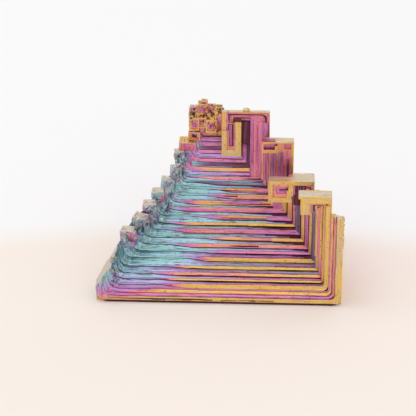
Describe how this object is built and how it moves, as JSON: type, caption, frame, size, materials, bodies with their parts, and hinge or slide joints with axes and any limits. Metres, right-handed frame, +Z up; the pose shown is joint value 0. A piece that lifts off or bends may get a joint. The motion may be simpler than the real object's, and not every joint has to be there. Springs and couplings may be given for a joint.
{
  "type": "bismuth hopper crystal",
  "caption": "Iridescent bismuth hopper crystal with nested square terraces round an open recess, hooked right wall, slanted left crust and a flat sawn base.",
  "frame": {"origin": "bottom centre of the crystal's bounding box, on the flat base", "axes": "+X along the front rim towards the tall hooked wall, -Y out of the open front of the recess, +Z up"},
  "size_m": [0.045, 0.031, 0.0301],
  "materials": {
    "bismuth": "bismuth metal under a thin oxide film that shows gold, pink, violet and teal interference colours, satin, silver-grey on the crust and base"
  },
  "bodies": {
    "root": {"bismuth_crystal": "bismuth"}
  },
  "joints": []
}
